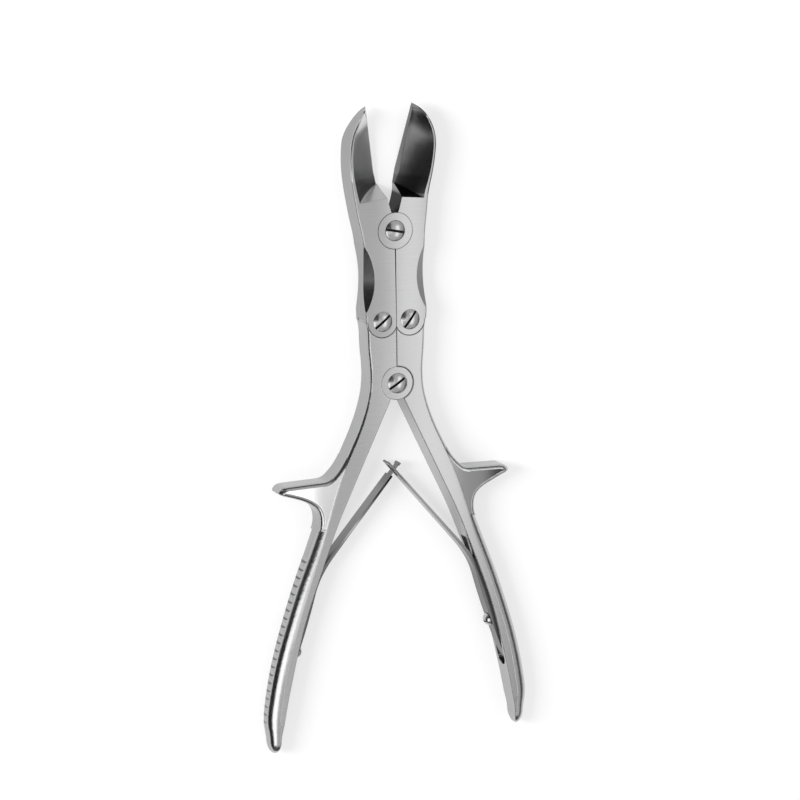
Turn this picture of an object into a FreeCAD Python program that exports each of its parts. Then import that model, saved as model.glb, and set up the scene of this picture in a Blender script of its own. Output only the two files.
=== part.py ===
import FreeCAD, Part
import math
import os
from FreeCAD import Vector

# Double-action bone cutting forceps, lying on their back.
# X runs across the instrument, Y runs towards the blade tips, Z runs up to the front face.
# The origin is under the handle pivot, on the back face. Lengths are in millimetres, angles in degrees.
# Each pair of pieces is drawn once for the right-hand side, and mirrored for the left.

# Linkage: four pivots in the shape of a kite
handle_pivot_y = 0.0
link_pivot_x = 6.0
link_pivot_y = 26.0
jaw_pivot_y = 63.0
handle_closing = 16.0  # each handle turns this far from open to closed

# Joint
joint_thickness = 11.0
jaw_disc_radius = 7.4
handle_disc_radius = 6.9
lobe_radius = 6.4
lobe_rim = 0.9  # side wall of the handle left outside each lobe
fork_plate = 2.6  # thickness of the front and back plates of a jaw's fork
lap_gap = 0.1  # between flat faces that slide on each other
ring_gap = 0.2  # round a disc, lobe or tongue in its recess
seam_width_low = 0.16  # the slit between the arms, at the link screws
seam_width_high = 0.44  # the same slit, at the jaw pivot
ring_line_width = 0.14  # the turned line that ends each disc on its own arm
ring_line_depth = 0.16

# Pivot screws
screw_shank_radius = 2.4
screw_head_radius = 4.15
screw_head_depth = 1.5
screw_dome_rise = 0.45
screw_slot_width = 1.0
screw_slot_depth = 0.95
screw_fit = 0.05  # running clearance on the radius
thread_fit = 0.02  # where the screw is held
open_pivot_fit = 0.16  # the jaw pivot lets the four-bar linkage find its own centre
jaw_screw_slot_angle = -13.0
left_link_slot_angle = 38.0
right_link_slot_angle = 52.0
handle_screw_slot_angle = 32.0

# Jaw arm: its outer side, as half widths from the centre line at heights above the handle pivot
arm_side_right = [
    (13.5, 33.0),
    (13.15, 40.0),
    (12.95, 47.0),
    (12.95, 54.0),
    (13.4, 62.5),
    (14.3, 70.5),
    (15.1, 77.3),
]
arm_side_left = [
    (13.4, 33.0),
    (13.2, 40.0),
    (13.05, 47.0),
    (13.45, 54.0),
    (14.4, 61.5),
    (15.75, 67.5),
    (17.0, 74.0),
]
side_edge_radius = 0.7  # rounding between the arm's outer side and its flats
waist_wheel_radius = 40.0  # the wheel that grinds the slanting relief at the waist
waist_wheel_slope = 36.5  # how far the relief slants down from the flat
waist_relief_point = (9.2, 43.6)  # where the relief reaches furthest into the flat

# Blade, at distances beyond the jaw pivot
blade_side_right = [
    (16.9, 22.0),
    (18.2, 29.0),
    (18.7, 34.0),
    (18.3, 38.8),
    (17.0, 42.7),
    (15.0, 46.2),
    (12.3, 49.2),
]
blade_side_left = [
    (18.1, 17.5),
    (18.9, 24.5),
    (19.0, 31.0),
    (18.5, 36.5),
    (17.4, 40.8),
    (15.2, 45.2),
    (12.6, 48.8),
]
blade_length = 51.9
edge_margin = 0.17  # angle left between each edge and the centre line when closed
heel_length = 18.3  # where the cutting edge starts
heel_wall_top = 13.6  # where the joint's flat front face ends
heel_wall_turn = 6.4  # degrees that the sloping wall at the heel is turned from straight across
throat = [(1.5, 7.6), (2.85, 12.2)]  # the inner side of the arm between the pivot and the heel
edge_height_tip = 5.8
back_height_tip = 7.0  # top of the blade at its tip
edge_rise_start = 24.0  # the back of the blade is flat up to here, along the edge
back_rise_outer = 35.5  # and up to here along the outer side
shoulder_height_heel = 1.4  # foot of the hollow bevel above the back face, at the heel
shoulder_height_tip = 6.6
shoulder_width = 0.65  # the sharpened facet between the hollow bevel and the edge
bevel_hollow_radius = 60.0
bevel_rim = [  # width of the flat left outside the hollow bevel
    (5.0, 2.2),
    (12.3, 1.95),
    (18.0, 1.6),
    (24.0, 1.3),
    (30.0, 1.2),
    (36.0, 1.15),
    (41.0, 1.1),
    (45.0, 0.95),
    (48.0, 0.6),
]
bevel_rim_drop = [(44.0, 0.0), (46.5, 0.35), (48.5, 1.2)]  # how far the rim has fallen near the tip
bevel_tip_foot = 0.05  # across the blade's tip, from its edge: the foot of the bevel
bevel_tip_rim = 0.35  # and its rim
facet_share = 0.2  # the sharpened facet takes at most this share of the blade's width
heel_wall_root = 0.6  # the heel wall runs on this far past the heel under the back face

# Handle limb: height, outer edge, shoulder width, shoulder drop, half thickness before the flats are ground
limb_sections = [
    (16.0, 12.5, 1.7, 1.6, 5.62),
    (7.0, 11.8, 1.7, 1.6, 5.62),
    (-2.0, 12.1, 1.7, 1.7, 5.62),
    (-11.0, 14.3, 1.9, 1.9, 5.62),
    (-20.0, 17.9, 2.2, 2.2, 5.64),
    (-30.0, 22.9, 2.6, 2.6, 5.66),
    (-42.0, 28.4, 3.3, 3.3, 5.70),
    (-54.0, 33.3, 4.4, 4.1, 5.66),
    (-66.0, 38.0, 5.2, 4.6, 5.60),
    (-80.0, 43.5, 5.8, 4.6, 5.50),
    (-94.0, 48.4, 6.1, 4.6, 5.39),
    (-108.0, 52.7, 6.2, 4.5, 5.24),
    (-121.0, 55.8, 6.2, 4.3, 5.06),
    (-131.0, 57.5, 6.3, 4.15, 4.90),
    (-139.0, 57.9, 5.8, 3.95, 4.66),
    (-144.5, 57.1, 4.9, 3.5, 4.16),
]
lean_left = 0.25  # degrees that the left limb leans further out than the shape drawn here
lean_right = -0.2
limb_shoulder_top = (1.6, 1.5)  # the same shoulder, wide and deep, where the limb meets the jaw
limb_shoulder_most = 0.9  # the shoulder takes at most this share of the limb's width
handle_length = 150.8
handle_tip_x = 54.0
handle_end_shares = (0.3, 0.55, 0.75, 0.88, 0.97)  # sections of the rounded end, on the way to its tip
handle_end_half = 0.35  # half thickness left at the tip
inner_slope_end = -50.8  # the inner edge is straight from the joint down to this height
inner_slope_x = 24.0
inner_start = (2.9, -6.6)
inner_curve = [(33.3, -73.6), (41.2, -95.3), (47.3, -119.5), (51.2, -138.5)]
inner_end_turn = 0.85  # the inner edge ends this much steeper than its last stretch
flat_taper_start = -55.0
flat_taper = 1.1  # how much each flat has fallen at the handle's end

# Finger rest
rest_top_y = -38.3
rest_root_top = [(22.4, -28.9), (24.5, -32.3), (28.3, -36.5), (33.0, rest_top_y)]
rest_reach_left = 51.8
rest_reach_right = 49.9
rest_tip_height = 3.9
rest_tip_radius = 1.85
rest_tip_start = 4.25  # where the rounded tip begins, short of the rest's reach
rest_tip_fall = 0.35  # the level top has fallen this far there, and the under side runs on as far
rest_tip_shoulder = (1.1, 1.15)  # a point of the tip's upper round: short of the reach, and below the top
rest_tip_low = 0.9  # the furthest point of the tip lies this far below its middle
rest_under = [(42.6, -45.0), (37.9, -47.4), (35.1, -50.2), (34.2, -53.6)]
rest_root_low = (35.0, -59.0)
rest_root_back = [(29.5, -57.0), (20.5, -33.0)]  # inside the limb
rest_inset = 0.12  # the rest lies this far under the ground flats
rest_edge_radius = 1.8

# Grip grooves
groove_count = 21
groove_first_y = -70.5
groove_pitch = 3.3
groove_radius = 1.5
groove_depth = 0.42

# Leaf springs
leaf_width = 6.0
leaf_thickness = [(0.0, 1.5), (0.2, 1.9), (0.5, 2.25), (1.0, 1.9)]  # along the foot, from its end to the bend
leaf_run_thickness = [(0.0, 1.25), (1.0, 0.85)]  # along the free run, from the bend to the tip
leaf_channel_clearance = 0.25
leaf_channel_start = -68.0
leaf_channel_end = -121.2  # centre of the channel's round end
leaf_channel_depth_start = 1.2  # the channel's floor is straight, so it is deepest at its two ends
leaf_channel_depth_end = 2.3
leaf_channel_mouth = 4.0  # the channel's cutter reaches this far out of the inner face
leaf_foot_end = -121.0
leaf_bend_start = -84.0
leaf_bend_end = (27.3, -68.9)
leaf_cross_y = -37.0
leaf_seat_gap = 0.05
tongue_past_cross = 3.8
tongue_width = 2.6
tongue_length = 2.6  # before the crossing
tongue_head_length = 1.2
tongue_head_width = 4.2
window_past_cross = 4.6
window_length = 6.8
window_width = 3.4
window_bridge = 1.2  # metal left between the window and the leaf's tip

# Spring screws
spring_screw_radius = 1.15
spring_screw_length = 3.9
spring_head_radius = 2.75
spring_head_height = 2.1
spring_head_slot_width = 0.6
spring_head_slot_depth = 0.8
spring_head_gap = 0.2  # under the head, over the leaf's crowned face
spring_screw_end_gap = 0.5  # the hole is this much deeper than the screw is long
spring_hole_gap = 0.15
spring_screw_y_left = -108.5
spring_screw_y_right = -104.2

# Sizes that follow from the ones above
middle = joint_thickness / 2
jaw_arm = math.hypot(link_pivot_x, jaw_pivot_y - link_pivot_y)
handle_arm = math.hypot(link_pivot_x, link_pivot_y - handle_pivot_y)
jaw_arm_angle = math.degrees(math.asin(link_pivot_x / jaw_arm))
handle_arm_angle = math.degrees(math.asin(link_pivot_x / handle_arm))
closed_sine = handle_arm * math.sin(math.radians(handle_arm_angle + handle_closing)) / jaw_arm
jaw_closing = math.degrees(math.asin(closed_sine)) - jaw_arm_angle
edge_angle = jaw_closing + edge_margin
outer_x = link_pivot_x + lobe_radius + lobe_rim
tongue_radius = lobe_radius + lobe_rim - 0.1
beyond = 20.0  # how far cutting tools run past what they cut


def flat(x, y, z=0.0):
    return Vector(x, y, z)


def curve(points, start=None, end=None):
    """A smooth curve through points in the plan, with its end directions where they are given."""
    line = Part.BSplineCurve()
    places = [flat(x, y) for x, y in points]
    if start is None:
        line.interpolate(places)
    else:
        line.interpolate(Points=places, InitialTangent=flat(*start), FinalTangent=flat(*end))
    return line.toShape()


def lines(points):
    """Straight edges from each point to the next."""
    return [Part.makeLine(flat(*a), flat(*b)) for a, b in zip(points, points[1:])]


def prism(edges, low, high):
    """The plan outline made of edges, between two heights."""
    wire = Part.Wire(Part.__sortEdges__(edges))
    face = Part.Face(wire)
    face.translate(Vector(0, 0, low))
    return face.extrude(Vector(0, 0, high - low))


def slab(x_low, x_high, y_low, y_high, z_low, z_high):
    box = Part.makeBox(x_high - x_low, y_high - y_low, z_high - z_low)
    box.translate(Vector(x_low, y_low, z_low))
    return box


def drum(x, y, radius, low, high):
    return Part.makeCylinder(radius, high - low, Vector(x, y, low))


def mirrored(shape):
    """The left-hand twin of a right-hand shape."""
    return shape.mirror(Vector(0, 0, 0), Vector(1, 0, 0))


def ray(length, angle):
    """A point at a distance from the jaw pivot, at an angle from the centre line."""
    turn = math.radians(angle)
    return (length * math.sin(turn), jaw_pivot_y + length * math.cos(turn))


def seam_x(y):
    """Half the width of the slit between the two arms at height y."""
    share = (y - link_pivot_y) / (jaw_pivot_y - link_pivot_y)
    share = max(0.0, share)
    return (seam_width_low + share * (seam_width_high - seam_width_low)) / 2


def between(rows, at):
    """The value at a place, on straight runs between the rows, and level before the first and after the last."""
    if at <= rows[0][0]:
        return rows[0][1]
    for (a, low), (b, high) in zip(rows, rows[1:]):
        if at <= b:
            return low + (high - low) * (at - a) / (b - a)
    return rows[-1][1]


def inner_edge():
    """The inner edge of the right handle from the joint to near its end, as plan edges."""
    slope = Part.makeLine(flat(*inner_start), flat(inner_slope_x, inner_slope_end))
    run = (inner_slope_x - inner_start[0], inner_slope_end - inner_start[1])
    points = [(inner_slope_x, inner_slope_end)] + inner_curve
    last = (inner_curve[-1][0] - inner_curve[-2][0], inner_curve[-1][1] - inner_curve[-2][1])
    bend = curve(points, run, (last[0] * inner_end_turn, last[1]))
    return slope, bend


slope_edge, bend_edge = inner_edge()


def inner_x(y):
    """Where the inner face of the right handle lies at height y; it runs on straight past both its ends."""
    if y >= inner_slope_end:
        share = (y - inner_start[1]) / (inner_slope_end - inner_start[1])
        return inner_start[0] + share * (inner_slope_x - inner_start[0])
    (before_x, before_y), (last_x, last_y) = inner_curve[-2:]
    if y < last_y:
        return last_x + (y - last_y) * inner_end_turn * (last_x - before_x) / (last_y - before_y)
    cut = Part.makeLine(flat(-beyond, y), flat(100, y))
    return bend_edge.distToShape(cut)[1][0][0].x


def pivot_screw(x, y, slot_angle, back=0.0):
    """A countersunk pivot screw with a low dome and a straight slot, finished flush with the back face."""
    top = joint_thickness
    neck = top - screw_head_depth
    ball = (screw_head_radius ** 2 + screw_dome_rise ** 2) / (2 * screw_dome_rise)
    half_way = screw_head_radius / 2
    rise_there = screw_dome_rise - ball + math.sqrt(ball ** 2 - half_way ** 2)
    crown = Part.Arc(
        Vector(screw_head_radius, 0, top),
        Vector(half_way, 0, top + rise_there),
        Vector(0, 0, top + screw_dome_rise),
    )
    corners = [(0, back), (screw_shank_radius, back), (screw_shank_radius, neck), (screw_head_radius, top)]
    edges = [Part.makeLine(Vector(a[0], 0, a[1]), Vector(b[0], 0, b[1])) for a, b in zip(corners, corners[1:])]
    edges += [crown.toShape(), Part.makeLine(Vector(0, 0, top + screw_dome_rise), Vector(0, 0, back))]
    body = Part.Face(Part.Wire(edges)).revolve(Vector(0, 0, 0), Vector(0, 0, 1), 360)
    low = top + screw_dome_rise - screw_slot_depth
    half = screw_slot_width / 2
    slot = slab(-beyond, beyond, -half, half, low, top + beyond)
    slot.rotate(Vector(0, 0, 0), Vector(0, 0, 1), slot_angle)
    body = body.cut(slot)
    body.translate(Vector(x, y, 0))
    return body


def screw_hole(x, y, gap, low=-beyond):
    """The countersunk hole for a pivot screw, larger than the screw by gap all round."""
    top = joint_thickness
    neck = top - screw_head_depth
    shank = drum(x, y, screw_shank_radius + gap, low, top + 1)
    head = Part.makeCone(
        screw_shank_radius + gap, screw_head_radius + gap, screw_head_depth, Vector(x, y, neck)
    )
    return shank.fuse(head)


def ring_line(y, radius, side, front):
    """The thin turned line that carries a disc's rim on across its own arm."""
    inner = radius + ring_gap - ring_line_width / 2
    outer = radius + ring_gap + ring_line_width / 2
    if front:
        low, high = joint_thickness - ring_line_depth, joint_thickness + 1
    else:
        low, high = -1, ring_line_depth
    ring = drum(0, y, outer, low, high).cut(drum(0, y, inner, low - 1, high + 1))
    half = slab(0, beyond, y - beyond, y + beyond, -beyond, beyond * 2)
    if side < 0:
        half = mirrored(half)
    return ring.common(half)


def lap(body, y, radius, side, front):
    """Half-lap at a pivot: a disc on one layer of the arm, and room for the other arm's disc on the other layer."""
    if front:
        own = (middle + lap_gap / 2, joint_thickness)
        other = (-1, middle + lap_gap / 2)
    else:
        own = (0, middle - lap_gap / 2)
        other = (middle - lap_gap / 2, joint_thickness + 1)
    body = body.cut(drum(0, y, radius + ring_gap, *other))
    body = body.fuse(drum(0, y, radius, *own))
    return body.cut(ring_line(y, radius, side, front))


def side_points(left):
    """The outer side of a jaw in the plan, drawn right-handed, from the link shoulder to the tip."""
    arm = arm_side_left if left else arm_side_right
    blade = [(x, jaw_pivot_y + y) for x, y in (blade_side_left if left else blade_side_right)]
    return [(outer_x, link_pivot_y)] + arm + blade + [ray(blade_length, edge_angle)]


def side_x(side, y):
    """Where a jaw's outer side lies at height y."""
    across = Part.makeLine(flat(-beyond, y), flat(5 * beyond, y))
    return max(pair[0].x for pair in side.distToShape(across)[1])


def bevel_section(y, foot, rim):
    """One section of the space over the bevel: a shallow hollow from its foot up to the rim, and all above."""
    top = joint_thickness + 2
    chord = math.hypot(rim[0] - foot[0], rim[1] - foot[1])
    sag = chord ** 2 / (8 * bevel_hollow_radius)
    dip_x = (foot[0] + rim[0]) / 2 + 2 * sag * (rim[1] - foot[1]) / chord
    dip_z = (foot[1] + rim[1]) / 2 - 2 * sag * (rim[0] - foot[0]) / chord
    hollow = Part.BezierCurve()
    hollow.setPoles([Vector(foot[0], y, foot[1]), Vector(dip_x, y, dip_z), Vector(rim[0], y, rim[1])])
    corners = [rim, (beyond + 5, rim[1]), (beyond + 5, top), (-beyond, top), (-beyond, foot[1]), foot]
    points = [Vector(x, y, z) for x, z in corners]
    straight = [Part.makeLine(a, b) for a, b in zip(points, points[1:])]
    return Part.Wire([hollow.toShape()] + straight)


def bevel_tool(side):
    """What the hollow bevel takes off the front of a blade, up to the sloping wall at its heel."""
    heel = ray(heel_length, edge_angle)
    tip = ray(blade_length, edge_angle)
    drops = dict(bevel_rim_drop)
    stations = sorted(set([y for y, width in bevel_rim] + list(drops)))
    sections = []
    for station in stations:
        y = jaw_pivot_y + station
        share = (y - heel[1]) / (tip[1] - heel[1])
        edge = heel[0] + share * (tip[0] - heel[0])
        outer = side_x(side, y)
        foot_x = edge + min(shoulder_width, facet_share * (outer - edge))
        foot_z = shoulder_height_heel + share * (shoulder_height_tip - shoulder_height_heel)
        rim_z = joint_thickness + 0.02 - between(bevel_rim_drop, station)
        sections.append(bevel_section(y, (foot_x, foot_z), (outer - between(bevel_rim, station), rim_z)))
    ends = (tip[0] + bevel_tip_foot, shoulder_height_tip), (tip[0] + bevel_tip_rim, back_height_tip)
    for y in (tip[1], tip[1] + 1):
        sections.append(bevel_section(y, *ends))
    hollow = Part.makeLoft(sections, True, False)
    wall_top = jaw_pivot_y + heel_wall_top
    corners = [
        (heel[1], shoulder_height_heel - 0.01),
        (wall_top, joint_thickness),
        (wall_top, joint_thickness + beyond),
        (wall_top + 5 * beyond, joint_thickness + beyond),
        (wall_top + 5 * beyond, -1),
        (heel[1] + heel_wall_root, -1),
    ]
    points = [Vector(-beyond, y, z) for y, z in corners]
    room = Part.Face(Part.makePolygon(points + points[:1])).extrude(Vector(5 * beyond, 0, 0))
    room.rotate(Vector(*heel, 0), Vector(0, 0, 1), -heel_wall_turn)
    return hollow.common(room)


def half_space(place, normal):
    """A large block that fills the side of a plane that its normal points to."""
    size = 5 * beyond
    block = Part.makeBox(2 * size, 2 * size, size, Vector(-size, -size, 0))
    block.Placement = FreeCAD.Placement(place, FreeCAD.Rotation(Vector(0, 0, 1), normal))
    return block


def facet_tool():
    """What the sharpening of the edge takes off: all beyond a steep facet that rises from the edge."""
    heel = ray(heel_length, edge_angle)
    rise = ray(edge_rise_start, edge_angle)
    tip = ray(blade_length, edge_angle)
    steep = Vector(shoulder_width, 0, shoulder_height_heel)
    tools = []
    for start, low, end, high in ((heel, 0, rise, 0), (rise, 0, tip, edge_height_tip)):
        edge_start = Vector(*start, low)
        run = Vector(*end, high) - edge_start
        normal = run.cross(steep).normalize()
        if normal.x > 0:
            normal = normal * -1
        block = half_space(edge_start, normal)
        last = end[1] + (beyond if end is tip else 0)
        tools.append(block.common(slab(-beyond, 3 * beyond, start[1], last, -1, joint_thickness + 1)))
    return tools


def back_tool():
    """What the rising back of the blade takes away: all that lies under a sloping plane."""
    a = Vector(*ray(edge_rise_start, edge_angle), 0)
    b = Vector(blade_side_right[2][0], jaw_pivot_y + back_rise_outer, 0)
    tip = Vector(*ray(blade_length, edge_angle), edge_height_tip)
    normal = (b - a).cross(tip - a).normalize()
    if normal.z > 0:
        normal = normal * -1
    return half_space(a, normal)


def waist_wheels():
    """The wheels that grind the slanting relief into the front and back edges of the waist."""
    lean = math.radians(waist_wheel_slope)
    x, y = waist_relief_point
    wheels = []
    for face, sign in ((joint_thickness, 1), (0, -1)):
        normal = Vector(math.sin(lean), 0, sign * math.cos(lean))
        axle = Vector(math.cos(lean), 0, -sign * math.sin(lean))
        centre = Vector(x, y, face) + normal * waist_wheel_radius
        wheels.append(Part.makeCylinder(waist_wheel_radius, 2 * beyond, centre - axle * beyond, axle))
    return wheels


def round_outer_edges(body):
    """The blank with the long edges of its outer side rounded."""
    rounded = []
    for edge in body.Edges:
        level = abs(edge.Vertexes[0].Z - edge.Vertexes[-1].Z) < 1e-6
        if level and edge.BoundBox.XMax > outer_x and edge.BoundBox.YMax - edge.BoundBox.YMin > 2 * beyond:
            rounded.append(edge)
    return body.makeFillet(side_edge_radius, rounded)


def jaw_blank(left):
    """A jaw before its pivot lap, drawn right-handed: arm, forked lower end, waist reliefs and blade."""
    seam_low = (seam_x(link_pivot_y), link_pivot_y)
    seam_high = (seam_x(jaw_pivot_y), jaw_pivot_y)
    heel = ray(heel_length, edge_angle)
    tip = ray(blade_length, edge_angle)
    shoulder = (outer_x, link_pivot_y)
    inner = [seam_high] + [(x, jaw_pivot_y + y) for x, y in throat] + [heel]
    side = curve(side_points(left))
    edges = lines([shoulder, seam_low, seam_high]) + [curve(inner)] + lines([heel, tip]) + [side]
    body = round_outer_edges(prism(edges, 0, joint_thickness))
    lobe = drum(link_pivot_x, link_pivot_y, lobe_radius, 0, joint_thickness)
    lobe = lobe.cut(slab(-beyond, seam_low[0], 0, jaw_pivot_y, -1, beyond))
    body = body.fuse(lobe)
    for wheel in waist_wheels():
        body = body.cut(wheel)
    slot = drum(
        link_pivot_x, link_pivot_y, tongue_radius + ring_gap, fork_plate, joint_thickness - fork_plate
    )
    body = body.cut(slot)
    body = body.cut(bevel_tool(side))
    body = body.cut(back_tool())
    for tool in facet_tool():
        body = body.cut(tool)
    return body


def limb_wire(y, inner, outer, width, drop, half):
    """One section of the handle: flat inside, rounded outside."""
    low, high = middle - half, middle + half
    width = min(width, limb_shoulder_most * (outer - inner))
    shoulder = outer - width

    def place(x, z):
        return Vector(x, y, z)

    def rounding(face, sign):
        round_share = 0.5523  # makes a curve with four poles very nearly a quarter of an ellipse
        line = Part.BezierCurve()
        line.setPoles(
            [
                place(shoulder, face),
                place(shoulder + round_share * width, face),
                place(outer, face + sign * drop * (1 - round_share)),
                place(outer, face + sign * drop),
            ]
        )
        return line.toShape()

    edges = [
        Part.makeLine(place(inner, low), place(inner, high)),
        Part.makeLine(place(inner, high), place(shoulder, high)),
        rounding(high, -1),
        Part.makeLine(place(outer, high - drop), place(outer, low + drop)),
        rounding(low, 1).reversed(),
        Part.makeLine(place(shoulder, low), place(inner, low)),
    ]
    return Part.Wire(Part.__sortEdges__(edges))


def limb():
    """The right handle's forged limb, from the link shoulder to the rounded end."""
    top = (link_pivot_y - lap_gap, outer_x) + limb_shoulder_top + limb_sections[0][4:]
    wires = [limb_wire(y, inner_x(y), *sizes) for y, *sizes in [top] + limb_sections]
    last_y, last_outer, last_width, last_drop, last_half = limb_sections[-1]
    for share in handle_end_shares:
        y = last_y - (handle_length + last_y) * share
        shrink = math.sqrt(1 - share ** 2)
        inner = handle_tip_x - (handle_tip_x - inner_x(last_y)) * shrink
        outer = handle_tip_x + (last_outer - handle_tip_x) * shrink
        half = handle_end_half + (last_half - handle_end_half) * shrink
        wires.append(limb_wire(y, inner, outer, last_width, last_drop * half / last_half, half))
    return Part.makeLoft(wires, True, False)


def ground_flats():
    """The space between the two flats that are ground on the handle, which close in slightly to its end."""
    end = -handle_length - 2
    edges = []
    start = link_pivot_y + beyond

    def place(y, z):
        return Vector(-beyond, y, z)

    for face, sign in ((joint_thickness, -1), (0.0, 1)):
        half_way = place((flat_taper_start + end) / 2, face + sign * flat_taper / 4)
        arc = Part.Arc(place(flat_taper_start, face), half_way, place(end, face + sign * flat_taper))
        edges.append(arc.toShape())
        edges.append(Part.makeLine(place(start, face), place(flat_taper_start, face)))
    edges.append(Part.makeLine(place(start, 0), place(start, joint_thickness)))
    edges.append(Part.makeLine(place(end, flat_taper), place(end, joint_thickness - flat_taper)))
    wire = Part.Wire(Part.__sortEdges__(edges))
    return Part.Face(wire).extrude(Vector(6 * beyond, 0, 0))


def finger_rest(reach):
    """The horn on the outer side of the handle that stops the hand from slipping forward."""
    level_end = (reach - rest_tip_start, rest_top_y - rest_tip_fall)
    short, fall = rest_tip_shoulder
    furthest = (reach, rest_top_y - rest_tip_height / 2 - rest_tip_low)
    tip_low = (reach - rest_tip_radius, rest_top_y - rest_tip_height - rest_tip_fall)
    inward = (-1.0, -0.35)
    top = curve(rest_root_top, (0.48, -0.88), (1.0, 0.0))
    ridge = lines([rest_root_top[-1], level_end])
    nose = curve([level_end, (reach - short, rest_top_y - fall), furthest, tip_low], (1.0, -0.03), inward)
    under = curve([tip_low] + rest_under + [rest_root_low], inward, (0.35, -0.94))
    back = lines([rest_root_low] + rest_root_back + rest_root_top[:1])
    body = prism([top] + ridge + [nose, under] + back, rest_inset, joint_thickness - rest_inset)
    back_corners = [rest_root_low] + rest_root_back + rest_root_top[:1]

    def on_back(vertex):
        return any(math.hypot(vertex.X - x, vertex.Y - y) < 1e-6 for x, y in back_corners)

    rounded = []
    for edge in body.Edges:
        level = abs(edge.Vertexes[0].Z - edge.Vertexes[-1].Z) < 1e-6
        if level and not all(on_back(vertex) for vertex in edge.Vertexes):
            rounded.append(edge)
    return body.makeFillet(rest_edge_radius, rounded)


def channel_place(y):
    """A point of the leaf channel's straight floor at height y, and the way out of the metal."""
    start = flat(inner_x(leaf_channel_start) + leaf_channel_depth_start, leaf_channel_start)
    end = flat(inner_x(leaf_channel_end) + leaf_channel_depth_end, leaf_channel_end)
    down = (end - start).normalize()
    return start + down * ((y - start.y) / down.y), Vector(down.y, -down.x, 0)


def leaf_channel():
    """The channel in the inner face that holds the foot of the leaf spring."""
    half = leaf_width / 2 + leaf_channel_clearance
    start, out = channel_place(leaf_channel_start)
    end, out = channel_place(leaf_channel_end)
    reach = out * leaf_channel_mouth
    corners = [(place.x, place.y) for place in (start, end, end + reach, start + reach, start)]
    channel = prism(lines(corners), middle - half, middle + half)
    return channel.fuse(Part.makeCylinder(half, leaf_channel_mouth, end + Vector(0, 0, middle), out))


def grip_grooves():
    """Rounded nicks across the outer side of the grip."""
    cuts = []
    outline = curve([(outer, y) for y, outer, *rest in limb_sections])
    for index in range(groove_count):
        y = groove_first_y - groove_pitch * index
        line = Part.makeLine(flat(0, y), flat(100, y))
        x = outline.distToShape(line)[1][0][0].x
        centre = x + groove_radius - groove_depth
        cuts.append(drum(centre, y, groove_radius, -1, joint_thickness + 1))
    return cuts


def leaning(shape, lean):
    """The shape turned about the joint's link pivots, so that the limb's end moves out by the lean."""
    turned = shape.copy()
    turned.rotate(flat(0, link_pivot_y), Vector(0, 0, 1), lean)
    return turned


def handle_blank(rest_reach, screw_y, lean):
    """A handle before its pivot lap, drawn right-handed."""
    body = limb().common(ground_flats())
    body = body.fuse(finger_rest(rest_reach))
    body = body.cut(leaf_channel())
    for groove in grip_grooves():
        body = body.cut(groove)
    body = leaning(body.cut(spring_screw_hole(screw_y)), lean)
    seam = slab(-2 * beyond, seam_x(link_pivot_y), -8, link_pivot_y + 10, -beyond, 2 * beyond)
    body = body.cut(seam)
    for low, high in (
        (-1, fork_plate + lap_gap),
        (joint_thickness - fork_plate - lap_gap, joint_thickness + 1),
    ):
        body = body.cut(drum(link_pivot_x, link_pivot_y, lobe_radius + ring_gap, low, high))
    tongue = drum(
        link_pivot_x,
        link_pivot_y,
        tongue_radius,
        fork_plate + lap_gap,
        joint_thickness - fork_plate - lap_gap,
    )
    tongue = tongue.cut(seam)
    return body.fuse(tongue).removeSplitter()


def spring_screw_place(y):
    floor, out = channel_place(y)
    return floor + Vector(0, 0, middle), out


def foot_share(y):
    """How far along the leaf's foot height y is: 0 at its end, 1 at the bend."""
    return (y - leaf_foot_end) / (leaf_bend_start - leaf_foot_end)


def spring_screw_hole(y):
    floor, out = spring_screw_place(y)
    start = floor - out * spring_screw_length
    return Part.makeCylinder(spring_screw_radius + thread_fit, beyond / 2, start, out)


def spring_screw(y):
    """A round-headed slotted screw that holds the foot of a leaf spring, drawn right-handed."""
    floor, out = spring_screw_place(y)
    rise = leaf_seat_gap + between(leaf_thickness, foot_share(y)) + spring_head_gap
    seat = floor + out * rise
    shank_length = spring_screw_length + rise - spring_screw_end_gap
    shank = Part.makeCylinder(spring_screw_radius, shank_length, seat - out * shank_length, out)
    height = spring_head_height
    ball = (spring_head_radius ** 2 + height ** 2) / (2 * height)
    dome = Part.makeSphere(ball, seat + out * (height - ball))
    head = dome.common(Part.makeCylinder(spring_head_radius, height + 1, seat, out))
    half = spring_head_slot_width / 2
    slot = slab(0, spring_head_slot_depth + 1, -half, half, -beyond, beyond)
    slot.rotate(Vector(0, 0, 0), Vector(0, 0, 1), math.degrees(math.atan2(out.y, out.x)))
    slot.translate(seat + out * (height - spring_head_slot_depth))
    return shank.fuse(head.cut(slot))


def leaf_line(past_cross):
    """The straight free run of the leaf: its start, its direction and its tip."""
    start = flat(*leaf_bend_end)
    straight = (flat(0, leaf_cross_y) - start).normalize()
    return start, straight, flat(0, leaf_cross_y) + straight * past_cross


def leaf_face(free, past_cross):
    """One of the leaf's two long faces in the plan, from the foot's end to the tip, and its two end points."""
    foot = []
    for share, thickness in leaf_thickness:
        floor, out = channel_place(leaf_foot_end + share * (leaf_bend_start - leaf_foot_end))
        foot.append(floor + out * (leaf_seat_gap + free * thickness))
    start, straight, tip = leaf_line(past_cross)
    side = Vector(-straight.y, straight.x, 0)
    run = []
    for place, (share, thickness) in zip((start, tip), leaf_run_thickness):
        run.append(place + side * ((free - 0.5) * thickness))
    up = (foot[-1] - foot[-2]).normalize()
    reach = (run[0] - foot[-1]).Length
    bend = curve([(p.x, p.y) for p in (foot[-1], run[0])], (up * reach)[:2], (straight * reach)[:2])
    if free:
        lower = [curve([(p.x, p.y) for p in foot])]
    else:
        lower = [Part.makeLine(foot[0], foot[-1])]
    return lower + [bend, Part.makeLine(*run)], foot[0], run[-1]


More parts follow.
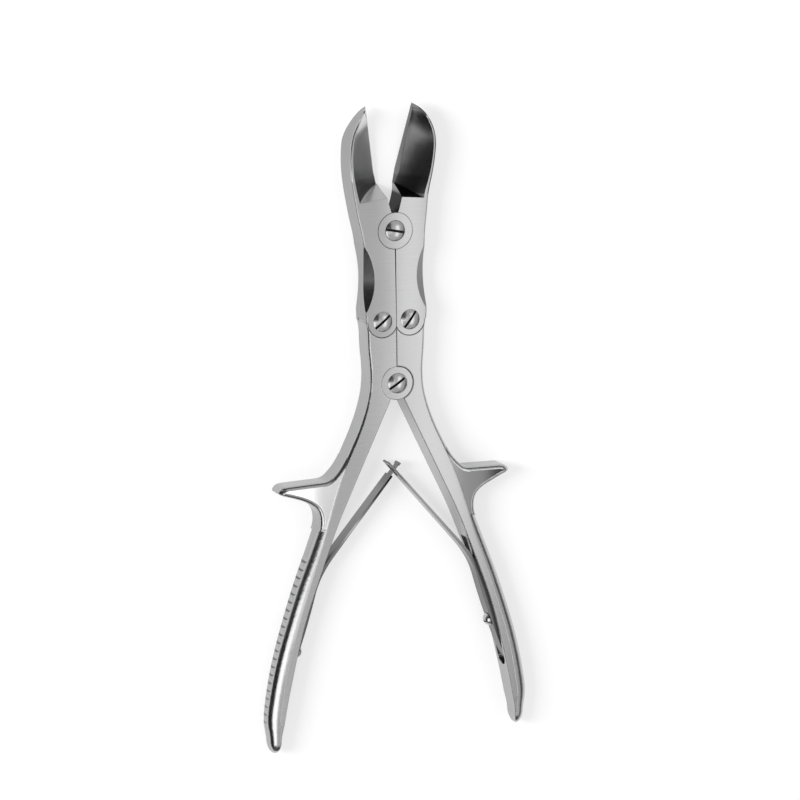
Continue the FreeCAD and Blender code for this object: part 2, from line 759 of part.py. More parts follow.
def leaf_blank(past_cross, screw_y):
    """A leaf spring without its end, drawn right-handed: thick at the foot, thinner along its free run."""
    seat, seat_foot, seat_tip = leaf_face(0, past_cross)
    free, free_foot, free_tip = leaf_face(1, past_cross)
    ends = [Part.makeLine(seat_foot, free_foot), Part.makeLine(seat_tip, free_tip)]
    strip = prism(seat + free + ends, middle - leaf_width / 2, middle + leaf_width / 2)
    floor, axis = spring_screw_place(screw_y)
    hole = Part.makeCylinder(spring_screw_radius + spring_hole_gap, beyond, floor - axis * beyond / 2, axis)
    start, straight, tip = leaf_line(past_cross)
    return strip.cut(hole), straight, tip


def along_leaf(tip, straight, start, length, width):
    """A block round the leaf's middle line, from a distance short of its tip."""
    block = Part.makeBox(length, 8, width, Vector(0, -4, -width / 2))
    angle = math.degrees(math.atan2(straight.y, straight.x))
    block.rotate(Vector(0, 0, 0), Vector(0, 0, 1), angle)
    block.translate(tip - straight * start + Vector(0, 0, middle))
    return block


def window_leaf(screw_y):
    """The right leaf spring, with the window that the other leaf's tongue goes through."""
    strip, straight, tip = leaf_blank(window_past_cross, screw_y)
    return strip.cut(along_leaf(tip, straight, window_bridge + window_length, window_length, window_width))


def tongue_leaf(screw_y):
    """The left leaf spring, drawn right-handed: its end is a tongue with a head."""
    strip, straight, tip = leaf_blank(tongue_past_cross, screw_y)
    reach = tongue_past_cross + tongue_length
    keep = along_leaf(tip, straight, reach, reach + 1, tongue_width)
    head = along_leaf(tip, straight, tongue_head_length, tongue_head_length + 1, tongue_head_width)
    whole = along_leaf(tip, straight, reach, reach + 1, beyond)
    return strip.cut(whole.cut(keep).cut(head))


def right_jaw():
    body = lap(jaw_blank(False), jaw_pivot_y, jaw_disc_radius, 1, True)
    body = body.cut(screw_hole(0, jaw_pivot_y, open_pivot_fit))
    return body.cut(screw_hole(link_pivot_x, link_pivot_y, thread_fit))


def left_jaw():
    body = lap(mirrored(jaw_blank(True)), jaw_pivot_y, jaw_disc_radius, -1, False)
    body = body.cut(drum(0, jaw_pivot_y, screw_shank_radius + thread_fit, -1, joint_thickness + 1))
    return body.cut(screw_hole(-link_pivot_x, link_pivot_y, thread_fit))


def right_handle():
    blank = handle_blank(rest_reach_right, spring_screw_y_right, lean_right)
    body = lap(blank, handle_pivot_y, handle_disc_radius, 1, False)
    body = body.cut(drum(0, handle_pivot_y, screw_shank_radius + thread_fit, -1, joint_thickness + 1))
    return body.cut(drum(link_pivot_x, link_pivot_y, screw_shank_radius + screw_fit, -1, beyond))


def left_handle():
    blank = mirrored(handle_blank(rest_reach_left, spring_screw_y_left, lean_left))
    body = lap(blank, handle_pivot_y, handle_disc_radius, -1, True)
    body = body.cut(screw_hole(0, handle_pivot_y, screw_fit))
    return body.cut(drum(-link_pivot_x, link_pivot_y, screw_shank_radius + screw_fit, -1, beyond))


pieces = {
    "left_jaw": left_jaw,
    "right_jaw": right_jaw,
    "left_handle": left_handle,
    "right_handle": right_handle,
    "jaw_pivot_screw": lambda: pivot_screw(0, jaw_pivot_y, jaw_screw_slot_angle),
    "left_link_screw": lambda: pivot_screw(-link_pivot_x, link_pivot_y, left_link_slot_angle),
    "right_link_screw": lambda: pivot_screw(link_pivot_x, link_pivot_y, right_link_slot_angle),
    "handle_pivot_screw": lambda: pivot_screw(0, handle_pivot_y, handle_screw_slot_angle),
    "left_spring": lambda: mirrored(leaning(tongue_leaf(spring_screw_y_left), lean_left)),
    "right_spring": lambda: leaning(window_leaf(spring_screw_y_right), lean_right),
    "left_spring_screw": lambda: mirrored(leaning(spring_screw(spring_screw_y_left), lean_left)),
    "right_spring_screw": lambda: leaning(spring_screw(spring_screw_y_right), lean_right),
}


def main():
    os.makedirs("parts", exist_ok=True)
    for name, make in pieces.items():
        shape = make()
        solids = shape.Solids
        print(name, len(solids), shape.isValid(), round(shape.Volume, 2))
        if len(solids) == 1:
            shape = solids[0]
        shape.exportStep("parts/" + name + ".step")


main()
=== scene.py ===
import math

import bmesh
import bpy
from mathutils import Matrix, Vector


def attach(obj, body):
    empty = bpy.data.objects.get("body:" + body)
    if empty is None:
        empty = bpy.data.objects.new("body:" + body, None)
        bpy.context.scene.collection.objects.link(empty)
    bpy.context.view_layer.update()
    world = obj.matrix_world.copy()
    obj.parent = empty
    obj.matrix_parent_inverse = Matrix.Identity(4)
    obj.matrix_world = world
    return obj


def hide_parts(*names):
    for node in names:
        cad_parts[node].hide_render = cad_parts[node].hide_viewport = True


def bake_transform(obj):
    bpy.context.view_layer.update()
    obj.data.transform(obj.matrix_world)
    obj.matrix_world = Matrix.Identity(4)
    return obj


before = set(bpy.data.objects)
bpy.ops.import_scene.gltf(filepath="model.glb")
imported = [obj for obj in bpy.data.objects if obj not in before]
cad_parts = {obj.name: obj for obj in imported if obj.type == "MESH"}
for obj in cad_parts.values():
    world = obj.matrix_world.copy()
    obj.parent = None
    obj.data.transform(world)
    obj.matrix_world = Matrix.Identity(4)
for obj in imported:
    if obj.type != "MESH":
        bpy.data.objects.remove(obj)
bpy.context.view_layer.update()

bl_info = {
    "name": "Bone Cutting Forceps",
    "version": (1, 0, 0),
    "blender": (4, 5, 0),
    "location": "View3D > Sidebar > Forceps",
    "description": "Finishes a double-action bone cutter and lights it as on a packshot table",
    "category": "Object",
}

# The photograph's camera, worked out from the pivots, blade tips and handle ends.
# Lengths are in metres, angles in degrees, and a place in the picture is in its pixels.
PICTURE_WIDTH = 800
CAMERA_DISTANCE = 2.0
CAMERA_FOCAL_PIXELS = 4920
CAMERA_TURN = 22.74
CAMERA_RISE = 12.31
CAMERA_ROLL = 0.83
PIVOT_IN_PICTURE = (397.4, 383.3)

# Sizes of the instrument that its finishes and small pieces follow
JOINT_THICKNESS = 0.011
MIDDLE = JOINT_THICKNESS / 2
JAW_PIVOT_Y = 0.063
HEEL_Y = 0.0766
LEAF_BEND = (-0.085, -0.066)  # the leaf springs give between these two heights
LEAF_CUTS = 18

# Where the finishes and the painted light and shade change: a first and a last height, or a width, and
# how soft each change is
SOFT = 0.001
WAIST_TOP = 0.058
WAIST_DEPTH = (0.00012, 0.00004)
THROAT = (0.0690, 0.0770)
THROAT_WIDTH = 0.0036
HEEL = (0.0740, 0.0830)
BLADE_START = 0.0835
WEB = (-0.0640, -0.0265)
WEB_FACE = 0.00540  # the sunk webs of the finger rests lie this far from the middle plane
GRIP = (-0.1415, -0.0690)
LEAF_ROOT = (-0.085, -0.050)
LEAF_TIP = (-0.0450, -0.0400)

# Slopes of the reliefs: crowned flats, hollow webs and domed screw heads
JAW_CROWN = -4.5
HANDLE_CROWN = -2.0
FLAT_SLOPE = -0.02
WEB_SLOPE = -0.27
WEB_CURVE = 6
WEB_MIDDLE = 0.033
HEAD_CURVE = -26

# Screws: where each sits, which body it turns with, how far its slot is turned, and its sizes
PIVOT_SCREWS = {
    "jaw_pivot_screw": ((0, JAW_PIVOT_Y), "left_jaw", -13),
    "left_link_screw": ((-0.006, 0.026), "left_jaw", 38),
    "right_link_screw": ((0.006, 0.026), "right_jaw", 52),
    "handle_pivot_screw": ((0, 0), "right_handle", 32),
}
PIVOT_SCREW_SIZES = {
    "Head Radius": 0.00415,
    "Dome": 0.00045,
    "Head Depth": 0.0015,
    "Shank Radius": 0.0024,
    "Shank": 0.0095,
    "Slot Width": 0.001,
    "Slot Depth": 0.00095,
}
SPRING_SCREWS = {
    "left_spring_screw": ((-0.044169, -0.109035), "left_handle", -18.57, 0.005711),
    "right_spring_screw": ((0.041569, -0.105115), "right_handle", -161.88, 0.005846),
}
SPRING_SCREW_SIZES = {
    "Head Radius": 0.00275,
    "Dome": 0.0021,
    "Head Depth": 0.0,
    "Shank Radius": 0.00115,
    "Slot Width": 0.0006,
    "Slot Depth": 0.0008,
}


# The table and the lamp
TABLE_REACH = 6.0
TABLE_DROP = -0.0002
TABLE_WHITE = 1.02
TABLE_LIGHT = 1.04  # how brightly the room and the lamp together light the open table
LAMP_PLACE = (-1.6, 0.4, 1.1)
LAMP_SIZE = (0.5, 0.9)

# Cards round the table: centre, width and height, and how brightly each shines
CARDS = {
    "jaw_flag": ((-0.34, 0.21, 0.42), (0.50, 0.94), 0.05),
    "handle_low_flag": ((-0.40, -0.34, 0.17), (0.58, 0.34), 0.02),
    "handle_softbox": ((-0.32, -0.34, 0.48), (0.58, 0.34), 2.1),
    "high_softbox": ((-0.16, -0.10, 0.95), (0.34, 0.60), 1.3),
    "right_low_flag": ((0.75, -0.10, 0.08), (1.60, 0.16), 0.40),
    "right_middle_flag": ((0.75, -0.10, 0.25), (1.60, 0.20), 0.04),
    "right_high_flag": ((0.70, -0.10, 0.48), (1.60, 0.28), 0.60),
    "right_softbox": ((0.54, -0.16, 0.84), (0.90, 0.30), 1.75),
    "far_flag": ((0.20, 0.90, 0.32), (1.60, 0.58), 0.06),
    "near_flag": ((0.00, -0.90, 0.30), (1.60, 0.56), 0.10),
}


class Value:
    """One output in a node tree. A sum written on it adds the Math nodes that it needs."""

    def __init__(self, tree, socket):
        self.tree = tree
        self.socket = socket

    def maths(self, operation, *values):
        return self.tree.node("ShaderNodeMath", {"operation": operation}, values)

    def sine(self):
        return self.maths("SINE", self)

    def cosine(self):
        return self.maths("COSINE", self)

    def root(self):
        return self.maths("SQRT", self)

    def __add__(self, other):
        return self.maths("ADD", self, other)

    __radd__ = __add__

    def __sub__(self, other):
        return self.maths("SUBTRACT", self, other)

    def __rsub__(self, other):
        return self.maths("SUBTRACT", other, self)

    def __mul__(self, other):
        return self.maths("MULTIPLY", self, other)

    __rmul__ = __mul__

    def __truediv__(self, other):
        return self.maths("DIVIDE", self, other)

    def __neg__(self):
        return self * -1

    def __abs__(self):
        return self.maths("ABSOLUTE", self)

    def between(self, low, high, smooth=True):
        """0 below low, 1 above high, and a rise from one to the other."""
        rise = "SMOOTHSTEP" if smooth else "LINEAR"
        values = {"Value": self, "From Min": low, "From Max": high}
        return self.tree.node("ShaderNodeMapRange", {"interpolation_type": rise}, values)


class Tree:
    """A node tree in the making."""

    def node(self, kind, settings=None, inputs=None, output=0):
        """Adds a node: first its settings, then the values or links of its sockets."""
        made = self.tree.nodes.new(kind)
        for name, value in (settings or {}).items():
            setattr(made, name, value)
        named = inputs.items() if isinstance(inputs, dict) else enumerate(inputs or ())
        for name, value in named:
            if isinstance(value, Value):
                self.tree.links.new(value.socket, made.inputs[name])
            else:
                made.inputs[name].default_value = value
        if len(made.outputs):
            return Value(self, made.outputs[output])

    def split(self, vector):
        """The X, Y and Z of a vector."""
        first = self.node("ShaderNodeSeparateXYZ", {}, {"Vector": vector})
        made = first.socket.node
        return [Value(self, made.outputs[axis]) for axis in "XYZ"]

    def joined(self, x, y, z):
        """The vector of an X, a Y and a Z."""
        return self.node("ShaderNodeCombineXYZ", {}, (x, y, z))


class Finish(Tree):
    """A material in the making."""

    def __init__(self, name):
        self.material = bpy.data.materials.new(name)
        self.material.use_nodes = True
        self.tree = self.material.node_tree
        self.tree.nodes.clear()

    def place(self):
        return self.node("ShaderNodeTexCoord", output="Object")

    def noise(self, scale, turn=0.0, detail=3.0, roughness=0.6):
        """Noise about zero, with its own scale along each axis per metre, turned in the plan."""
        settings = {"Vector": self.place(), "Rotation": (0, 0, math.radians(turn)), "Scale": scale}
        place = self.node("ShaderNodeMapping", {"vector_type": "POINT"}, settings)
        values = {"Vector": place, "Scale": 1.0, "Detail": detail, "Roughness": roughness}
        return self.node("ShaderNodeTexNoise", {}, values) - 0.5

    def facing(self):
        """The X, Y and Z of the way the surface faces."""
        return self.split(self.node("ShaderNodeNewGeometry", output="Normal"))

    def softened(self, radius):
        """The normal as it is with every edge broken by a radius."""
        return self.node("ShaderNodeBevel", {"samples": 6}, {"Radius": radius})

    def steel(self, level, roughness, height, edge=0.0002, **more):
        """Bare steel: its level of grey, its roughness, and the height of its relief in metres."""
        colour = self.node("ShaderNodeCombineColor", {}, (level, level, level * 1.006))
        relief = {"Height": height, "Distance": 1.0, "Strength": 1.0, "Normal": self.softened(edge)}
        normal = self.node("ShaderNodeBump", {}, relief)
        values = {"Base Color": colour, "Metallic": 1.0, "Roughness": roughness, "Normal": normal, **more}
        return self.end(self.node("ShaderNodeBsdfPrincipled", {}, values))

    def end(self, shader):
        self.node("ShaderNodeOutputMaterial", {}, {"Surface": shader})
        return self.material


def within(value, limits, soft):
    """1 between two limits, and 0 outside them."""
    low, high = limits
    return value.between(low, low + soft) * (1 - value.between(high, high + soft))


def jaw_steel():
    """Satin flats brushed across, plain sides, and blades ground hollow with streaks along the edge;
    painted shade in the throat, on the waist reliefs, the right heel wall and the right blade's bevel,
    and a painted reflection that lightens the ground blades.
    """
    finish = Finish("jaw_steel")
    x, y, z = finish.split(finish.place())
    ahead, up = finish.facing()[1:]
    up = abs(up)
    flat = up.between(0.985, 0.998)
    side = 1 - up.between(0.2, 0.45)
    right = x.between(0.0, SOFT)
    deep, shallow = WAIST_DEPTH
    sunk = 1 - abs(z - MIDDLE).between(MIDDLE - deep, MIDDLE - shallow)
    blade = y.between(HEEL_Y, HEEL_Y + SOFT) * (1 - flat) * (1 - side)
    across = finish.noise((110, 3200, 3200), 4, detail=4.0)
    along = finish.noise((2600, 70, 2600), -6, detail=4.0)
    wash = finish.noise((48, 30, 48), 25, detail=1.0)
    streaks = flat * across + (1 - flat) * along
    # painted shade: this mask darkens the throat between the jaws almost to black
    painted_throat_shade = side * within(y, THROAT, SOFT * 1.5)
    painted_throat_shade = painted_throat_shade * (1 - abs(x).between(THROAT_WIDTH, THROAT_WIDTH + SOFT * 0.6))
    # painted shade: this mask darkens the sunk waist reliefs by half
    painted_waist_shade = sunk * up.between(0.5, 0.6) * (1 - y.between(WAIST_TOP, WAIST_TOP + SOFT * 2))
    # painted shade: this mask darkens the right jaw's heel wall
    painted_heel_shade = ahead.between(0.4, 0.6) * right * within(y, HEEL, SOFT)
    # painted reflection: this mask lightens the ground part of both blades
    ground = blade * y.between(BLADE_START, BLADE_START + SOFT * 1.5)
    level = 0.47 - 0.13 * side + 0.05 * wash + 0.12 * streaks
    level = level * (1 - 0.97 * painted_throat_shade) * (1 - 0.5 * painted_waist_shade) * (1 - 0.75 * painted_heel_shade)
    # painted shade: the right blade's bevel is darkened, besides the painted reflection on the ground
    # part
    level = level * (1 + 0.55 * ground) * (1 - 0.72 * blade * right)
    roughness = 0.24 + 0.06 * flat + 0.10 * streaks
    crown = (x * x * JAW_CROWN + x * FLAT_SLOPE) * flat
    return finish.steel(level, roughness, crown + streaks * 0.0000015)


def handle_steel():
    """Satin flats brushed across, polished round sides, and hollow webs on the finger rests made bright
    by a painted highlight; painted shade in the nicks, along the right handle's inner edge and on the
    right web.
    """
    finish = Finish("handle_steel")
    x, y, z = finish.split(finish.place())
    ahead, up = finish.facing()[1:]
    up = abs(up)
    flat = up.between(0.985, 0.998)
    side = 1 - up.between(0.2, 0.6)
    right = x.between(0.0, SOFT)
    web = flat * (1 - abs(z - MIDDLE).between(WEB_FACE, WEB_FACE + 0.00003))
    web = web * within(y, WEB, SOFT * 0.5)
    satin = flat - web
    across = finish.noise((180, 4600, 4600), 8, detail=4.0)
    wash = finish.noise((40, 26, 40), 25, detail=1.0)
    waves = finish.noise((60, 60, 60), 0, detail=1.0)
    # painted shade: this mask darkens the walls of the nicks on the grip
    painted_nick_shade = side * within(y, GRIP, SOFT) * abs(ahead).between(0.42, 0.66)
    inner_edge = -finish.split(finish.softened(0.0006))[0]
    # painted shade: this mask draws a dark line along the right handle's inner edge
    painted_inner_edge_shade = satin * inner_edge.between(0.08, 0.30) * x.between(SOFT, SOFT * 2)
    # painted highlight: the webs are lightened; painted shade: the nicks, the inner edge line and the
    # right web are darkened
    level = 0.50 - 0.09 * side - 0.02 * satin + 0.16 * web + 0.05 * wash + 0.08 * satin * across
    level = level * (1 - 0.7 * painted_nick_shade) * (1 - 0.85 * painted_inner_edge_shade) * (1 - 0.35 * web * right)
    roughness = 0.20 + 0.09 * satin + 0.10 * satin * across
    from_middle = abs(x) - WEB_MIDDLE
    hollow = (abs(x) * WEB_SLOPE - from_middle * from_middle * WEB_CURVE) * web
    crown = (x * x * HANDLE_CROWN + x * FLAT_SLOPE) * satin
    relief = hollow + crown + satin * across * 0.0000015 + (1 - flat) * waves * 0.00012
    return finish.steel(level, roughness, relief, edge=0.0007)


def leaf_steel():
    """Spring steel with a drawn finish along the leaf, and painted shade that darkens it towards its foot
    and at its tip.
    """
    finish = Finish("leaf_steel")
    y = finish.split(finish.place())[1]
    along = finish.noise((2600, 2600, 6000), 0, detail=3.0)
    # painted shade: the leaf is darkened towards its foot and at its tip
    root = 1 - y.between(*LEAF_ROOT)
    level = 0.30 - 0.16 * root - 0.10 * y.between(*LEAF_TIP) + 0.08 * along
    return finish.steel(level, 0.22 + 0.08 * along, along * 0.000002, edge=0.00015)


def turned_steel():
    """A screw head faced on a lathe: fine rings on a dome, and a slot darkened by painted shade."""
    finish = Finish("turned_steel")
    radius = finish.node("ShaderNodeAttribute", {"attribute_name": "turning"}, output="Fac")
    slot = finish.node("ShaderNodeAttribute", {"attribute_name": "slot"}, output="Fac")
    rings = (radius * 32000).sine()
    # painted shade: the slot is darkened almost to black
    level = 0.52 * (1 - 0.95 * slot.between(0.2, 0.8))
    relief = (rings * 0.0000012 + radius * radius * HEAD_CURVE) * (1 - slot)
    return finish.steel(level, 0.2 + 0.3 * slot, relief, edge=0.00012, Anisotropic=0.55)


class Shape(Tree):
    """A geometry node tree in the making, with named inputs for its sizes."""

    def __init__(self, name, sizes):
        self.tree = bpy.data.node_groups.new(name, "GeometryNodeTree")
        self.sockets = {}
        for label in (*sizes, "Steel"):
            kind = "NodeSocketMaterial" if label == "Steel" else "NodeSocketFloat"
            socket = self.tree.interface.new_socket(label, in_out="INPUT", socket_type=kind)
            self.sockets[label] = socket.identifier
        self.tree.interface.new_socket("Geometry", in_out="OUTPUT", socket_type="NodeSocketGeometry")
        self.entry = self.tree.nodes.new("NodeGroupInput")

    def size(self, label):
        """One of the tree's named inputs."""
        return Value(self, self.entry.outputs[label])

    def close(self, geometry):
        """Ends the tree in plain geometry that wears its steel."""
        whole = self.node("GeometryNodeRealizeInstances", {}, {"Geometry": geometry})
        values = {"Geometry": whole, "Material": self.size("Steel")}
        dressed = self.node("GeometryNodeSetMaterial", {}, values)
        exit_node = self.tree.nodes.new("NodeGroupOutput")
        self.tree.links.new(dressed.socket, exit_node.inputs["Geometry"])
        return self

    def make(self, name, values):
        """A plain mesh object, made by the tree with these values."""
        made = bpy.data.objects.new(name, bpy.data.meshes.new(name + "_seed"))
        bpy.context.scene.collection.objects.link(made)
        modifier = made.modifiers.new("shape", "NODES")
        modifier.node_group = self.tree
        for label, value in values.items():
            modifier[self.sockets[label]] = value
        bpy.context.view_layer.update()
        graph = bpy.context.evaluated_depsgraph_get()
        mesh = bpy.data.meshes.new_from_object(made.evaluated_get(graph), depsgraph=graph)
        made.modifiers.clear()
        made.data = mesh
        mesh.name = name
        return made


def slotted_screw():
    """A screw turned from bar about its own axis, with a slot sawn across its head."""
    labels = (*PIVOT_SCREW_SIZES, "Turn")
    shape = Shape("slotted_screw", labels)
    sizes = [shape.size(label) for label in labels]
    head, dome, head_depth, shank, length, width, depth, turn = sizes
    grid_settings = {"Size X": 1.0, "Size Y": 1.0, "Vertices X": 41, "Vertices Y": 97}
    grid = shape.node("GeometryNodeMeshGrid", {}, grid_settings)
    along, round_share = shape.split(shape.node("GeometryNodeInputPosition"))[:2]
    along = along + 0.5
    angle = round_share * math.tau
    crown = along.between(0.0, 0.5, smooth=False)
    taper = along.between(0.5, 0.7, smooth=False)
    stem = along.between(0.7, 0.9, smooth=False)
    foot = along.between(0.9, 1.0, smooth=False)
    radius = head * crown - (head - shank) * taper - shank * foot
    ball = (head * head + dome * dome) / (dome * 2)
    out = head * crown
    rise = (ball * ball - out * out).root() - ball + dome
    height = rise - head_depth * taper - length * stem
    place = shape.joined(radius * angle.cosine(), radius * angle.sine(), height)
    body = shape.node("GeometryNodeSetPosition", {}, {"Geometry": grid, "Position": place})
    body = shape.node("GeometryNodeMergeByDistance", {}, {"Geometry": body, "Distance": 0.000002})
    bottom = dome - depth
    tall = depth * 4
    cutter = shape.node("GeometryNodeMeshCube", {}, {"Size": shape.joined(head * 4, width, tall)})
    moved = {
        "Geometry": cutter,
        "Translation": shape.joined(0.0, 0.0, bottom + tall / 2),
        "Rotation": shape.joined(0.0, 0.0, turn),
    }
    cutter = shape.node("GeometryNodeTransform", {}, moved)
    cut = shape.node("GeometryNodeMeshBoolean", {}, {"Mesh 1": body, "Mesh 2": cutter})
    x, y, z = shape.split(shape.node("GeometryNodeInputPosition"))
    turning = (x * x + y * y).root()
    kept = {"Geometry": cut, "Name": "turning", "Value": turning}
    cut = shape.node("GeometryNodeStoreNamedAttribute", {}, kept)
    aside = abs(y * turn.cosine() - x * turn.sine())
    near = 1 - aside.between(width * 0.505, width * 0.515, smooth=False)
    in_slot = near * z.between(bottom - 0.00002, bottom - 0.00001)
    kept = {"Geometry": cut, "Name": "slot", "Value": in_slot}
    cut = shape.node("GeometryNodeStoreNamedAttribute", {"domain": "FACE"}, kept)
    return shape.close(cut)


def set_down(piece, place, axis):
    """Moves a piece's mesh from its own axis to its place in the frame."""
    turn = Vector(axis).to_track_quat("Z", "Y").to_matrix().to_4x4()
    piece.data.transform(Matrix.Translation(place) @ turn)
    for face in piece.data.polygons:
        face.use_smooth = True
    piece.data.set_sharp_from_angle(angle=math.radians(28))


class ForcepsStage(bpy.types.PropertyGroup):
    floor_level: bpy.props.FloatProperty(
        name="Floor", description="How pale the table is under the lamp", default=0.86, min=0, max=1
    )
    shadow_share: bpy.props.FloatProperty(
        name="Shadow",
        description="Share of the table's white that a shadow can take away",
        default=0.42,
        min=0,
        max=1,
    )
    world_level: bpy.props.FloatProperty(
        name="Room", description="Light from all round", default=0.66, min=0, max=2
    )
    lamp_power: bpy.props.FloatProperty(
        name="Lamp", description="Power of the large soft lamp", default=34.0, min=0, subtype="POWER"
    )


def flat_sheet(name, width, height):
    """A flat rectangle about its own centre."""
    x = width / 2
    y = height / 2
    mesh = bpy.data.meshes.new(name)
    mesh.from_pydata([(-x, -y, 0), (x, -y, 0), (x, y, 0), (-x, y, 0)], [], [(0, 1, 2, 3)])
    sheet = bpy.data.objects.new(name, mesh)
    bpy.context.scene.collection.objects.link(sheet)
    return sheet


def card(name, centre, size, level):
    """A flat card that faces the instrument and shows in its reflections alone, at this level."""
    made = flat_sheet(name, *size)
    mesh = made.data
    x, y, z = centre
    at_an_end = abs(y) > 2 * abs(x)
    inward = Vector((0, -y, -z)) if at_an_end else Vector((-x, 0, -z))
    turn = inward.to_track_quat("Z", "Y")
    mesh.transform(Matrix.Translation(centre) @ turn.to_matrix().to_4x4())
    finish = Finish(name + "_cloth")
    shader = finish.node("ShaderNodeEmission", {}, {"Color": (1, 1, 1, 1), "Strength": level})
    mesh.materials.append(finish.end(shader))
    made.visible_camera = False
    made.visible_diffuse = False
    made.visible_shadow = False


class FORCEPS_OT_stage(bpy.types.Operator):
    """Lays the table, hangs the cards and the lamp round it and sets up the camera"""

    bl_idname = "forceps.stage"
    bl_label = "Table, Light and Camera"

    def execute(self, context):
        chosen = context.scene.forceps_stage
        self.table(chosen)
        self.light(context, chosen)
        self.camera(context)
        context.scene.view_settings.view_transform = "Standard"
        return {"FINISHED"}

    def table(self, chosen):
        table = flat_sheet("table", TABLE_REACH * 2, TABLE_REACH * 2)
        table.data.transform(Matrix.Translation((0, 0, TABLE_DROP)))
        finish = Finish("white_table")
        level = chosen.floor_level
        share = chosen.shadow_share
        lit = finish.node("ShaderNodeBsdfDiffuse", {}, {"Color": (level, level, level, 1)})
        shaded = finish.node("ShaderNodeBsdfDiffuse", {}, {"Color": (share, share, share, 1)})
        plain = TABLE_WHITE - share * TABLE_LIGHT
        white = finish.node("ShaderNodeEmission", {}, {"Color": (1, 1, 1, 1), "Strength": plain})
        shown = finish.node("ShaderNodeAddShader", {}, (shaded, white))
        rays = finish.node("ShaderNodeLightPath").socket.node
        seen = Value(finish, rays.outputs["Is Camera Ray"]) + Value(finish, rays.outputs["Is Glossy Ray"])
        seen = seen + Value(finish, rays.outputs["Is Transmission Ray"])
        mixed = finish.node("ShaderNodeMixShader", {}, (seen, lit, shown))
        table.data.materials.append(finish.end(mixed))

    def light(self, context, chosen):
        world = bpy.data.worlds.new("room")
        world.use_nodes = True
        level = chosen.world_level
        room = world.node_tree.nodes["Background"]
        room.inputs["Color"].default_value = (level, level, level, 1)
        context.scene.world = world
        for name, (centre, size, shine) in CARDS.items():
            card(name, centre, size, shine)
        lamp = bpy.data.lights.new("soft_lamp", "AREA")
        lamp.shape = "RECTANGLE"
        lamp.size, lamp.size_y = LAMP_SIZE
        lamp.energy = chosen.lamp_power
        lamp_object = bpy.data.objects.new("soft_lamp", lamp)
        lamp_object.location = LAMP_PLACE
        lamp_object.rotation_euler = (-Vector(LAMP_PLACE)).to_track_quat("-Z", "Y").to_euler()
        lamp_object.visible_glossy = False
        context.scene.collection.objects.link(lamp_object)

    def camera(self, context):
        turn = math.radians(CAMERA_TURN)
        rise = math.radians(CAMERA_RISE)
        roll = math.radians(CAMERA_ROLL)
        back = Vector((-math.sin(turn) * math.cos(rise), math.sin(rise), math.cos(turn) * math.cos(rise)))
        right = Vector((math.cos(turn), 0, math.sin(turn)))
        up = back.cross(right)
        level_right = right * math.cos(roll) + up * -math.sin(roll)
        level_up = up * math.cos(roll) + right * math.sin(roll)
        pixel = CAMERA_DISTANCE / CAMERA_FOCAL_PIXELS
        pivot = Vector((0, 0, JOINT_THICKNESS))
        aside = (PICTURE_WIDTH / 2 - PIVOT_IN_PICTURE[0]) * pixel
        below = (PICTURE_WIDTH / 2 - PIVOT_IN_PICTURE[1]) * pixel
        aim = pivot + level_right * aside - level_up * below
        data = bpy.data.cameras.new("camera")
        data.sensor_width = 36
        data.lens = CAMERA_FOCAL_PIXELS / PICTURE_WIDTH * data.sensor_width
        data.clip_start = 0.1
        data.clip_end = 30
        camera = bpy.data.objects.new("camera", data)
        basis = Matrix((level_right, level_up, back)).transposed().to_4x4()
        camera.matrix_world = Matrix.Translation(aim + back * CAMERA_DISTANCE) @ basis
        context.scene.collection.objects.link(camera)
        context.scene.camera = camera


class FORCEPS_OT_forgings(bpy.types.Operator):
    """Gives the jaws and the handles their ground, brushed and polished steel, with painted light and
    shade
    """

    bl_idname = "forceps.forgings"
    bl_label = "Jaws and Handles"

    def execute(self, context):
        for kind, finish in (("jaw", jaw_steel()), ("handle", handle_steel())):
            for side in ("left", "right"):
                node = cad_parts[side + "_" + kind]
                node.data.materials.clear()
                node.data.materials.append(finish)
        return {"FINISHED"}


class FORCEPS_OT_screws(bpy.types.Operator):
    """Turns the four slotted pivot screws and the two round-headed spring screws"""

    bl_idname = "forceps.screws"
    bl_label = "Screws"

    def execute(self, context):
        shape = slotted_screw()
        steel = turned_steel()
        for name, ((x, y), body, turn) in PIVOT_SCREWS.items():
            sizes = {**PIVOT_SCREW_SIZES, "Turn": math.radians(turn)}
            self.fit(shape, steel, name, sizes, (x, y, JOINT_THICKNESS), (0, 0, 1), body)
        for name, ((x, y), body, turn, shank) in SPRING_SCREWS.items():
            sizes = {**SPRING_SCREW_SIZES, "Shank": shank, "Turn": math.pi / 2}
            out = (math.cos(math.radians(turn)), math.sin(math.radians(turn)), 0)
            self.fit(shape, steel, name, sizes, (x, y, MIDDLE), out, body)
        return {"FINISHED"}

    def fit(self, shape, steel, name, sizes, place, axis, body):
        screw = shape.make(name + "_turned", {**sizes, "Steel": steel})
        set_down(screw, place, axis)
        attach(screw, body)
        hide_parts(name)


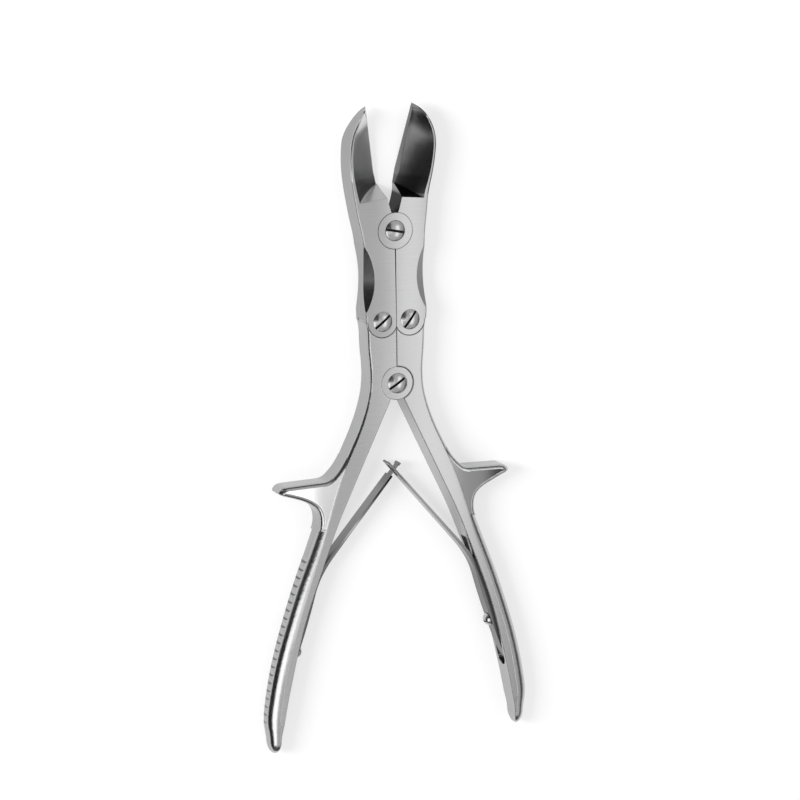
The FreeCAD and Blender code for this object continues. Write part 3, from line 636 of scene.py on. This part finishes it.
class FORCEPS_OT_springs(bpy.types.Operator):
    """Draws the leaf springs from meshes fine enough to bend between foot and free run"""

    bl_idname = "forceps.springs"
    bl_label = "Leaf Springs"

    def execute(self, context):
        steel = leaf_steel()
        for side in ("left", "right"):
            name = side + "_spring"
            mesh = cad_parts[name].data.copy()
            mesh.name = name + "_leaf"
            mesh.materials.clear()
            mesh.materials.append(steel)
            self.divide(mesh)
            leaf = bpy.data.objects.new(mesh.name, mesh)
            context.scene.collection.objects.link(leaf)
            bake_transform(leaf)
            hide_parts(name)
        return {"FINISHED"}

    def divide(self, mesh):
        """Cuts the leaf across, close together where it bends."""
        form = bmesh.new()
        form.from_mesh(mesh)
        bmesh.ops.remove_doubles(form, verts=form.verts, dist=0.000001)
        bmesh.ops.dissolve_limit(
            form, angle_limit=math.radians(0.5), verts=form.verts, edges=form.edges, delimit={"NORMAL"}
        )
        low, high = LEAF_BEND
        for step in range(LEAF_CUTS + 1):
            y = low + (high - low) * step / LEAF_CUTS
            parts = form.verts[:] + form.edges[:] + form.faces[:]
            bmesh.ops.bisect_plane(
                form, geom=parts, dist=0.0000005, plane_co=(0, y, 0), plane_no=(0, 1, 0)
            )
        bmesh.ops.triangulate(form, faces=[face for face in form.faces if len(face.verts) > 4])
        form.to_mesh(mesh)
        form.free()
        for face in mesh.polygons:
            face.use_smooth = True
        mesh.set_sharp_from_angle(angle=math.radians(32))


class FORCEPS_PT_sidebar(bpy.types.Panel):
    """Lists the steps that build the forceps"""

    bl_label = "Forceps"
    bl_idname = "FORCEPS_PT_sidebar"
    bl_space_type = "VIEW_3D"
    bl_region_type = "UI"
    bl_category = "Forceps"

    def draw(self, context):
        for step in steps:
            self.layout.operator(step.bl_idname)
        chosen = context.scene.forceps_stage
        for name in ForcepsStage.__annotations__:
            self.layout.prop(chosen, name)


steps = (FORCEPS_OT_stage, FORCEPS_OT_forgings, FORCEPS_OT_screws, FORCEPS_OT_springs)
groups = {"forceps_stage": ForcepsStage}


def register():
    for name, group in groups.items():
        bpy.utils.register_class(group)
        setattr(bpy.types.Scene, name, bpy.props.PointerProperty(type=group))
    for shown in (*steps, FORCEPS_PT_sidebar):
        bpy.utils.register_class(shown)


def unregister():
    for shown in (FORCEPS_PT_sidebar, *reversed(steps)):
        bpy.utils.unregister_class(shown)
    for name, group in groups.items():
        delattr(bpy.types.Scene, name)
        bpy.utils.unregister_class(group)


def main():
    register()
    bpy.ops.forceps.stage()
    bpy.ops.forceps.forgings()
    bpy.ops.forceps.screws()
    bpy.ops.forceps.springs()


if __name__ == "__main__":
    main()
